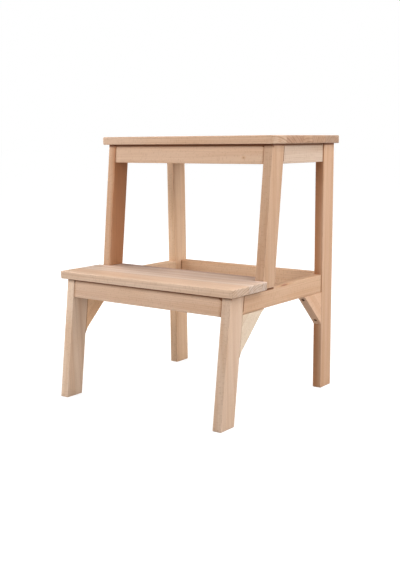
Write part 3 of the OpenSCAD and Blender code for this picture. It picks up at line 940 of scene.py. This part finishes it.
def countersunk_screws() -> bpy.types.NodeTree:
    """Builds the tree for countersunk wood screws with a thread and a cross recess."""
    wires, take, out = pin_tree("Countersunk screws", {
        "Head Radius": ("Float", 0.0035), "Head Height": ("Float", 0.0026),
        "Shank Radius": ("Float", 0.00175), "Length": ("Float", 0.028), "Pitch": ("Float", 0.0018),
        "Thread Depth": ("Float", 0.18), "Recess Width": ("Float", 0.0009), "Recess Span": ("Float", 0.0038),
        "Recess Depth": ("Float", 0.0014)})
    x, y, z = wires.parts(wires.node("GeometryNodeInputPosition").outputs[0])
    below = wires.math("DIVIDE", z, take["Head Height"])
    cone = wires.math("SUBTRACT", 1.0, wires.math("MAXIMUM", wires.math("SUBTRACT", below, 0.08), 0.0))
    cone = wires.math("MULTIPLY", cone, take["Head Radius"])
    tip = wires.math("MULTIPLY", wires.math("SUBTRACT", take["Length"], z), 0.42)
    shank = wires.math("MAXIMUM", wires.math("MINIMUM", take["Shank Radius"], tip), 0.00025)
    radius = wires.math("MAXIMUM", cone, shank)
    body = turned_line(wires, take["Length"], radius, rings=120, facets=24)
    turns = wires.math("DIVIDE", wires.math("ARCTAN2", y, x), 2 * math.pi)
    climb = wires.math("SUBTRACT", wires.math("DIVIDE", z, take["Pitch"]), turns)
    groove = wires.math("ABSOLUTE", wires.math("SUBTRACT", wires.math("FRACT", climb), 0.5))
    threaded = wires.math("GREATER_THAN", z, wires.math("MULTIPLY", take["Head Height"], 2.0))
    dip = wires.math("MULTIPLY", wires.math("MULTIPLY", groove, take["Thread Depth"]),
                     wires.math("MULTIPLY", threaded, 2.0))
    body = spread(wires, body, wires.math("SUBTRACT", 1.0, dip))
    deep = wires.math("MULTIPLY", take["Recess Depth"], 2.0)
    bars = [wires.node("GeometryNodeMeshCube", {"Size": wires.join(a, b, deep)}).outputs[0] for a, b in (
        (take["Recess Width"], take["Recess Span"]), (take["Recess Span"], take["Recess Width"]))]
    for bar in bars:
        body = wires.node("GeometryNodeMeshBoolean", {"Mesh 1": body, "Mesh 2": bar},
                          operation="DIFFERENCE").outputs[0]
    put_at_places(wires, take, out, body)
    return wires.tree


def settle(piece: bpy.types.Object, slot: str, *nodes: str) -> None:
    """Makes a piece ride on the stool in place of its CAD nodes."""
    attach(piece, BODY)
    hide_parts(*nodes)
    LOG.info("%s: %d faces for %s", piece.name, len(piece.data.polygons), ", ".join(nodes))


# ---- straight pieces ----


def depth_at(node: str, z: float) -> Point:
    """Where a CAD node starts and ends, front to back, at a height where it has corners."""
    found = [v.co.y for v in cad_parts[node].data.vertices if abs(v.co.z - z) < HAIR]
    return min(found), max(found)


@dataclass(frozen=True)
class Easing:
    """How a straight piece's four sides are eased: bottom, rear, top and front, seen from the side.

    A painted shade above 1 gives a wider painted shadow line, for a side that stands back behind the piece it
    meets.
    """

    rims: Sides
    corners: Sides
    joint_shades: Sides
    end_shade: float = 0.0           # the painted shade round the left and right faces
    shade_spill: float = 0.0              # the painted shade that a side closing against another piece spreads onto the sides next to it
    margin: float = 0.005           # how far the flats' own mesh lies inside the easing


class Stock(Enum):
    """What a straight piece does in the frame, which sets how its edges are eased and where it gets painted
    shade.
    """

    FOOTED_LEG = Easing((0.0010, 0.0010, 0.0004, 0.0010), (0.0012, 0.0012, 0.0004, 0.0004), (0, 0, 1.6, 0),
                        shade_spill=1.6)
    SEATED_LEG = Easing((0.0004, 0.0010, 0.0004, 0.0010), (0.0004,) * 4, (0, 0, 1.6, 0), shade_spill=2.0)
    UPPER_APRON = Easing((0.0006,) * 4, (0.0011,) * 4, (0, 0, 5, 0), 0.88, 1.9)
    LOWER_APRON = Easing((0.0006,) * 4, (0.0011,) * 4, (0, 0, 5, 0), 0.88, 1.3, 0.0075)
    REAR_RAIL = Easing((0.0006,) * 4, (0.0011,) * 4, (0, 0, 0, 0), 0.88)
    UPPER_RAIL = Easing((0.0009, 0.0003, 0.0006, 0.0005), (0.0004,) * 4, (0, 0, 1.8, 3))
    LOWER_RAIL = Easing((0.0009, 0.0003, 0.0008, 0.0005), (0.0004,) * 4, (0, 0, 2.2, 5))


@dataclass(frozen=True)
class Stick:
    """One leg, apron or rail."""

    name: str
    node: str
    stock: Stock
    run: Run
    cut: Cut
    mark: Mark | None = None
    under: str = ""             # the last piece that stands on it, behind which its top gets no painted shade
    bare_depth: float = 0.012   # how far down from the top that part without painted shade reaches

    def build(self, finish: BeechFinish, joinery: Joinery) -> bpy.types.Object:
        """Makes the piece over its CAD node and puts it in place.

        Args:
            finish: its wood.
            joinery: what drills its holes.

        Returns:
            The finished piece.
        """
        low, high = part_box(self.node)
        bottom, top = depth_at(self.node, low.z), depth_at(self.node, high.z)
        points = ((bottom[0], low.z), (bottom[1], low.z), (top[1], high.z), (top[0], high.z))
        easing = self.stock.value
        outline = Outline(points, easing.corners, easing.rims, easing.joint_shades, easing.end_shade, easing.shade_spill,
                          easing.margin)
        piece = wooden_solid(self.name, outline, Plane.SIDE, low.x, high.x)
        joinery.drill(piece)
        middle = (low + high) / 2
        bare = None
        if self.under:
            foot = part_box(self.under)[0].z
            bare = (depth_at(self.under, foot)[1], high.z - self.bare_depth)
        piece.data.materials.append(finish.material(
            self.name, self.run, middle, self.cut, mark=self.mark, bare=bare))
        settle(piece, finish.slot, self.node)
        return piece


# ---- sub-assemblies ----


KNOT = Mark((0.1346, -0.0360, 0.4611), (0.7, 1.0, 1.0), 0.0018, (0.46, 0.29, 0.19))
# A dark reddish dash on the right lower rail's top edge, behind the upper leg's foot.
DARK_DASH = Mark((0.1933, 0.010, 0.2290), (1.0, 0.11, 1.0), 0.0018, (0.36, 0.17, 0.11))


@dataclass
class UpperFrame:
    """The four posts under the top step with their aprons and side rails."""

    legs: BeechFinish
    rails: BeechFinish
    sticks: tuple[Stick, ...] = (
        Stick("left_rear_leg", "rear_leg_left", Stock.FOOTED_LEG, Run.UPRIGHT, Cut(1.0, (1.09, 1.11, 1.06))),
        Stick("right_rear_leg", "rear_leg_right", Stock.FOOTED_LEG,
              Run.UPRIGHT, Cut(2.0, (0.94, 0.91, 0.87), (-0.09, 0.05), 0.089, -1.2)),
        Stick("left_upper_leg", "upper_front_leg_left", Stock.SEATED_LEG,
              Run.UPRIGHT, Cut(3.0, (0.97, 0.93, 0.87), (0.0, -0.09), 0.088)),
        Stick("right_upper_leg", "upper_front_leg_right", Stock.SEATED_LEG,
              Run.UPRIGHT, Cut(4.0, (0.88, 0.85, 0.80))),
        Stick("front_upper_apron", "upper_front_apron", Stock.UPPER_APRON,
              Run.ACROSS, Cut(5.0, (1.06, 1.09, 1.09)), KNOT),
        Stick("rear_upper_apron", "upper_rear_apron", Stock.UPPER_APRON, Run.ACROSS, Cut(6.0)),
        Stick("left_upper_rail", "upper_side_rail_left", Stock.UPPER_RAIL, Run.FRONT_TO_BACK, Cut(7.0)),
        Stick("right_upper_rail", "upper_side_rail_right", Stock.UPPER_RAIL,
              Run.FRONT_TO_BACK, Cut(8.0, (0.93, 1.03, 1.12))),
    )

    def build(self, joinery: Joinery) -> None:
        """Makes every stick, legs in the legs' wood and the others in the rails'."""
        for stick in self.sticks:
            stick.build(self.legs if "leg" in stick.name else self.rails, joinery)


@dataclass
class LowerFrame(UpperFrame):
    """The lower front legs with their apron, the side rails and the rear rail."""

    sticks: tuple[Stick, ...] = (
        Stick("left_lower_leg", "lower_front_leg_left", Stock.FOOTED_LEG,
              Run.UPRIGHT, Cut(11.0, (1.17, 1.29, 1.38))),
        Stick("right_lower_leg", "lower_front_leg_right", Stock.FOOTED_LEG,
              Run.UPRIGHT, Cut(12.0, (1.03, 1.11, 1.18))),
        Stick("front_lower_apron", "lower_front_apron", Stock.LOWER_APRON,
              Run.ACROSS, Cut(13.0, (1.05, 1.08, 1.10))),
        Stick("rear_lower_rail", "lower_rear_rail", Stock.REAR_RAIL,
              Run.ACROSS, Cut(14.0, (1.09, 1.10, 1.06))),
        Stick("left_lower_rail", "lower_side_rail_left", Stock.LOWER_RAIL,
              Run.FRONT_TO_BACK, Cut(15.0, (1.02, 1.06, 1.04)), under="upper_front_leg_left"),
        Stick("right_lower_rail", "lower_side_rail_right", Stock.LOWER_RAIL,
              Run.FRONT_TO_BACK, Cut(16.0, (0.97, 0.95, 0.90)), DARK_DASH, "upper_front_leg_right"),
    )


@dataclass
class TopStep:
    """The top step: a board of glued staves with a slot for the hand."""

    wood: BeechFinish
    node: str = "top_tread"
    corner: float = 0.004
    rim: float = 0.002
    slot_length: float = 0.100
    slot_width: float = 0.030
    slot_rim: float = 0.002
    cut: Cut = Cut(21.0, (0.99, 1.02, 1.05))
    staves: tuple[Stave, ...] = (
        Stave(0.0, (1.04, 1.03, 1.01), (-0.13, -0.02)),
        Stave(0.2, (0.86, 0.77, 0.71), (-0.12, 0.02)),
        Stave(0.44, (0.90, 0.83, 0.76), (0.004, -0.030)),
        Stave(0.574, (0.86, 0.79, 0.73), (0.12, 0.03)),
        Stave(0.77, (0.84, 0.82, 0.81), (0.15, -0.03)),
    )

    def build(self, joinery: Joinery) -> None:
        """Makes the board."""
        low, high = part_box(self.node)
        board = ((low.x, low.y), (high.x, low.y), (high.x, high.y), (low.x, high.y))
        outline = Outline(board, (self.corner,) * 4, (self.rim,) * 4, (0,) * 4, steps=5)
        middle, half, across = (low.y + high.y) / 2, self.slot_length / 2, self.slot_width / 2
        hand = ((-half, middle - across), (half, middle - across), (half, middle + across),
                (-half, middle + across))
        opening = Outline(hand, (across - 0.0001,) * 4, (self.slot_rim,) * 4, (0,) * 4, steps=8, inside=True)
        piece = wooden_solid("top_step", outline, Plane.PLAN, low.z, high.z, opening)
        joinery.drill(piece)
        piece.data.materials.append(self.wood.material(
            "top_step", Run.ACROSS, (low + high) / 2, self.cut, high.y - low.y, self.staves))
        settle(piece, self.wood.slot, self.node)


@dataclass
class LowerStep:
    """The lower step: a board of glued staves, notched round the upper legs."""

    wood: BeechFinish
    node: str = "lower_tread"
    leg: str = "upper_front_leg_right"
    corner: float = 0.004
    rim: float = 0.002
    tight: float = 0.0005           # easing of the notch's inner corners
    tongue: float = 0.001           # rounding where the notch's wall meets the leg's outer face
    gap: float = 0.0003             # room between the notch and the leg
    past_leg: float = 0.0005        # how far out the notch's hidden corner lies from the leg
    bevel: float = 0.0065           # how far from the wall the easing's own vertices lie
    cut: Cut = Cut(22.0, (1.03, 1.17, 1.33))
    staves: tuple[Stave, ...] = (
        Stave(0.0, (1.05, 1.00, 0.94), (-0.009, -0.050)),
        Stave(0.33, (1.06, 1.08, 1.11), (-0.001, 0.035)),
        Stave(0.62, (1.04, 1.06, 1.11), (0.07, 0.06)),
        Stave(0.90, (0.88, 0.82, 0.83), (0.09, -0.05)),
    )

    def build(self, joinery: Joinery) -> None:
        """Makes the board. The notch's wall leans with the legs that it closes against."""
        low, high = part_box(self.node)
        leg_low, leg_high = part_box(self.leg)
        foot, head = depth_at(self.leg, leg_low.z)[0], depth_at(self.leg, leg_high.z)[0]
        slope = (head - foot) / (leg_high.z - leg_low.z)
        wall = foot + slope * (high.z - leg_low.z) - self.gap
        inner, outer = leg_low.x - self.gap, leg_high.x + self.past_leg
        right = ((high.x, low.y), (high.x, wall), (outer, wall), (inner, wall), (inner, high.y))
        left = tuple((-x, y) for x, y in reversed(right))
        corners = (self.corner, self.corner, self.tongue, self.tight, self.rim)
        rims = (self.rim, self.rim, self.tight, self.tight, self.rim)
        # painted shade on the notch's walls, where they close against the leg
        joint_shades = (0, 0.3, 1, 1, 0)
        outline = Outline(right + left, corners + corners[::-1], rims + rims[3::-1] + (self.rim,),
                          joint_shades + joint_shades[3::-1] + (0,), steps=5)
        piece = wooden_solid("lower_step", outline, Plane.PLAN, low.z, high.z)
        for vertex in piece.data.vertices:
            if abs(vertex.co.y - wall) < self.bevel and abs(vertex.co.x) > inner - self.bevel:
                vertex.co.y -= slope * (high.z - vertex.co.z)
        joinery.drill(piece)
        piece.data.materials.append(self.wood.material(
            "lower_step", Run.ACROSS, (low + high) / 2, self.cut, high.y - low.y, self.staves))
        settle(piece, self.wood.slot, self.node)


@dataclass
class Gussets:
    """The four corner gussets under the lower frame, each with two screws."""

    wood: BeechFinish
    lean: float = 8.0
    front_rail: float = 0.066
    front_leg: float = 0.072
    front_tips: Triple = (0.003, 0.006, 0.005)
    rear_side: float = 0.064
    rear_tips: Triple = (0.0015, 0.0015, 0.002)
    front_shades: tuple[float, ...] = (0.86, 0, 0, 0, 0.80)      # painted shade on each side, from the rail round to the leg
    rear_shades: tuple[float, ...] = (0, 0, 0, 0, 0)
    corner: float = 0.0003
    ease: float = 0.0005
    margin: float = 0.0012
    front_cuts: tuple[Cut, Cut] = (Cut(31.0, (1.40, 1.42, 1.30)), Cut(32.0, (1.10, 1.30, 1.42)))
    rear_cuts: tuple[Cut, Cut] = (Cut(33.0), Cut(34.0, (1.04, 1.01, 0.98)))

    def build(self, joinery: Joinery) -> None:
        """Makes the four gussets."""
        lean = math.radians(self.lean)
        down = Vector((-math.sin(lean), -math.cos(lean)))
        for number, side in enumerate(("left", "right")):
            low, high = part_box("front_gusset_" + side)
            start = Vector((low.y - down.x * (self.front_leg + self.front_tips[1]), high.z))
            self.gusset("front", side, start, (Vector((1, 0)), down), (self.front_rail, self.front_leg),
                        self.front_tips, Run.FRONT_BRACE, self.front_cuts[number], joinery)
            low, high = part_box("rear_gusset_" + side)
            self.gusset("rear", side, Vector((high.y, high.z)), (Vector((-1, 0)), Vector((0, -1))),
                        (self.rear_side,) * 2, self.rear_tips, Run.REAR_BRACE, self.rear_cuts[number],
                        joinery)

    def gusset(self, place: str, side: str, start: Vector, ways: tuple[Vector, Vector], lengths: Point,
               tips: Triple, run: Run, cut: Cut, joinery: Joinery) -> None:
        """Makes one gusset.

        Args:
            place: "front" or "rear".
            side: "left" or "right".
            start: its corner, seen from the side.
            ways: the directions of its rail and its leg.
            lengths: its sides along them.
            tips: how far its blunt tips run on along the rail and the leg, and their height.
            run: which way its fibres run.
            cut: where in a log it was cut.
            joinery: what drills its holes.
        """
        node = f"{place}_gusset_{side}"
        (rail, leg), (rail_length, leg_length), (rail_tip, leg_tip, rise) = ways, lengths, tips
        points = [
            start,
            start + rail * (rail_length + rail_tip),
            start + rail * (rail_length - rise * rail_length / leg_length) + leg * rise,
            start + leg * (leg_length - rise * leg_length / rail_length) + rail * rise,
            start + leg * (leg_length + leg_tip),
        ]
        joint_shades = list(self.front_shades if place == "front" else self.rear_shades)
        if rail.x * leg.y - rail.y * leg.x < 0:
            points = points[::-1]
            joint_shades = joint_shades[::-1][1:] + joint_shades[:1]
        outline = Outline(tuple(tuple(p) for p in points), (self.corner,) * 5, (self.ease,) * 5,
                          tuple(joint_shades), margin=self.margin)
        low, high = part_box(node)
        piece = wooden_solid(f"{side}_{place}_gusset", outline, Plane.SIDE, low.x, high.x)
        joinery.drill(piece)
        piece.data.materials.append(self.wood.material(piece.name, run, (low + high) / 2, cut))
        settle(piece, self.wood.slot, node)


# ---- studio ----


@dataclass(frozen=True)
class Softbox:
    """One square soft light that points at the stool."""

    name: str
    place: Triple
    size: float
    power: float
    glossy: bool = True         # False keeps it out of the level boards' reflections

    def build(self, aim: Vector) -> None:
        """Puts the light in the scene, turned to aim."""
        lamp = bpy.data.lights.new(self.name, "AREA")
        lamp.shape, lamp.size = "SQUARE", self.size
        lamp.energy = self.power
        made = in_scene(self.name, lamp)
        made.visible_glossy = self.glossy
        made.location = self.place
        made.rotation_euler = (aim - Vector(self.place)).to_track_quat("-Z", "Y").to_euler()


@dataclass
class Studio:
    """The pale floor, the soft lights and the camera."""

    eye: Triple = (1.04074, -1.33659, 0.49078)
    yaw: float = 36.26
    pitch: float = 11.65
    roll: float = -0.47
    lens: float = 54.918
    shift: Point = (-0.04102, 0.06177)
    floor_radius: float = 40.0
    floor_tones: Point = (0.55, 0.57)           # as the light finds it
    seen_tone: float = 0.17                     # as the camera sees it, with a glow added
    near_glow: float = 0.88                     # the glow close to the stool, 1 further out
    glow_reach: Point = (0.40, 0.75)            # distances between which it rises to 1
    ambient: float = 0.004
    contrast: float = 1.25
    lights: tuple[Softbox, ...] = (
        Softbox("left_softbox", (-2.3, 0.1, 1.7), 1.5, 77.0, glossy=False),
        Softbox("front_softbox", (0.35, -1.35, 1.2), 0.6, 11.8),
        Softbox("right_softbox", (1.7, 0.2, 2.1), 1.6, 36.0),
        Softbox("back_right_softbox", (2.0, 1.8, 1.0), 1.5, 24.0),
        Softbox("left_front_softbox", (-1.9, -1.9, 1.0), 1.5, 31.0),
        Softbox("low_right_softbox", (2.6, 0.1, 1.0), 1.5, 18.0),
        Softbox("back_softbox", (0.3, 1.7, 2.2), 1.6, 24.0),
    )

    def build(self) -> None:
        """Makes the floor, the lights and the camera."""
        self.make_floor()
        aim = Vector((0.0, 0.0, 0.25))
        for light in self.lights:
            light.build(aim)
        world = bpy.data.worlds.new("studio_white")
        world.use_nodes = True
        wires = Wires(world.node_tree)
        seen = wires.node("ShaderNodeLightPath").outputs["Is Camera Ray"]
        backing = world.node_tree.nodes["Background"]
        backing.inputs["Color"].default_value = (1, 1, 1, 1)
        wires.feed(backing.inputs["Strength"], wires.math(
            "MULTIPLY_ADD", seen, 1.0 - self.ambient, self.ambient))
        bpy.context.scene.world = world
        bpy.context.scene.view_settings.view_transform = "Standard"
        bpy.context.scene.view_settings.gamma = 1.0 / self.contrast
        self.make_camera()

    def make_floor(self) -> None:
        """Makes a wide round floor with a faintly uneven pale finish."""
        bm = bmesh.new()
        bmesh.ops.create_circle(bm, cap_ends=True, segments=64, radius=self.floor_radius)
        mesh = new_mesh(bm, "studio_floor")
        floor = in_scene("studio_floor", mesh)
        made, wires, shader = new_material("pale_floor")
        place = wires.node("ShaderNodeTexCoord").outputs["Object"]
        uneven = wires.smooth(wires.noise(place, (3, 3, 3), 3.0), 0.3, 0.7)
        tone = wires.mix(uneven, *((*(grey,) * 3, 1) for grey in self.floor_tones))
        seen = wires.node("ShaderNodeLightPath").outputs["Is Camera Ray"]
        wires.feed(shader.inputs["Base Color"], wires.mix(seen, tone, (*(self.seen_tone,) * 3, 1)))
        far = wires.smooth(wires.vector("LENGTH", place), *self.glow_reach)
        glow = wires.math("MULTIPLY_ADD", far, 1.0 - self.near_glow, self.near_glow)
        shader.inputs["Emission Color"].default_value = (1, 1, 1, 1)
        wires.feed(shader.inputs["Emission Strength"], wires.math("MULTIPLY", glow, seen))
        shader.inputs["Roughness"].default_value = 0.9
        shader.inputs["Specular IOR Level"].default_value = 0.0
        mesh.materials.append(made)

    def make_camera(self) -> None:
        """Makes the camera and gives it to the scene."""
        yaw, pitch, roll = (math.radians(a) for a in (self.yaw, self.pitch, self.roll))
        ahead = Vector((-math.sin(yaw) * math.cos(pitch), math.cos(yaw) * math.cos(pitch), -math.sin(pitch)))
        right = Vector((math.cos(yaw), math.sin(yaw), 0.0))
        up = right.cross(ahead)
        across = right * math.cos(roll) + up * math.sin(roll)
        upward = up * math.cos(roll) - right * math.sin(roll)
        turn = Matrix((across, upward, -ahead)).transposed()
        lens = bpy.data.cameras.new("camera")
        lens.lens = self.lens
        lens.shift_x, lens.shift_y = self.shift
        camera = in_scene("camera", lens)
        camera.location = self.eye
        camera.rotation_euler = turn.to_euler()
        bpy.context.scene.camera = camera


def main() -> None:
    """Builds the stool and its studio."""
    logging.basicConfig(level=logging.INFO, format="%(name)s: %(message)s")
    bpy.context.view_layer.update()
    beech_figure()
    edge_wear_highlight_and_shade()
    glued_staves()
    boards = BeechFinish("beech_board", late=(0.40, 0.25, 0.16), ring_width=0.0048, ring_strength=0.42)
    legs = BeechFinish("beech_leg")
    rails = BeechFinish("beech_rail")
    braces = BeechFinish("beech_gusset")
    pegs = BeechFinish("dowel_wood")
    joinery = Joinery()
    joinery.make_cutter()
    TopStep(boards).build(joinery)
    UpperFrame(legs, rails).build(joinery)
    LowerStep(boards).build(joinery)
    LowerFrame(legs, rails).build(joinery)
    Gussets(braces).build(joinery)
    joinery.remove_cutter()
    dowels = fluted_dowels()
    peg_wood = pegs.material("dowels", Run.UPRIGHT, Vector((0.0, 0.0, 0.25)), Cut(41.0))
    for node in joinery.dowel_nodes:
        first = pins(node)[0]
        joinery.place_pins(node, dowels, {
            "Radius": first.radius, "Length": (first.end - first.start).length, "Finish": peg_wood},
            pegs.slot)
    steel = SteelFinish()
    joinery.place_pins(joinery.screw_node, countersunk_screws(), {"Finish": steel.material()}, steel.slot)
    Studio().build()


if __name__ == "__main__":
    main()
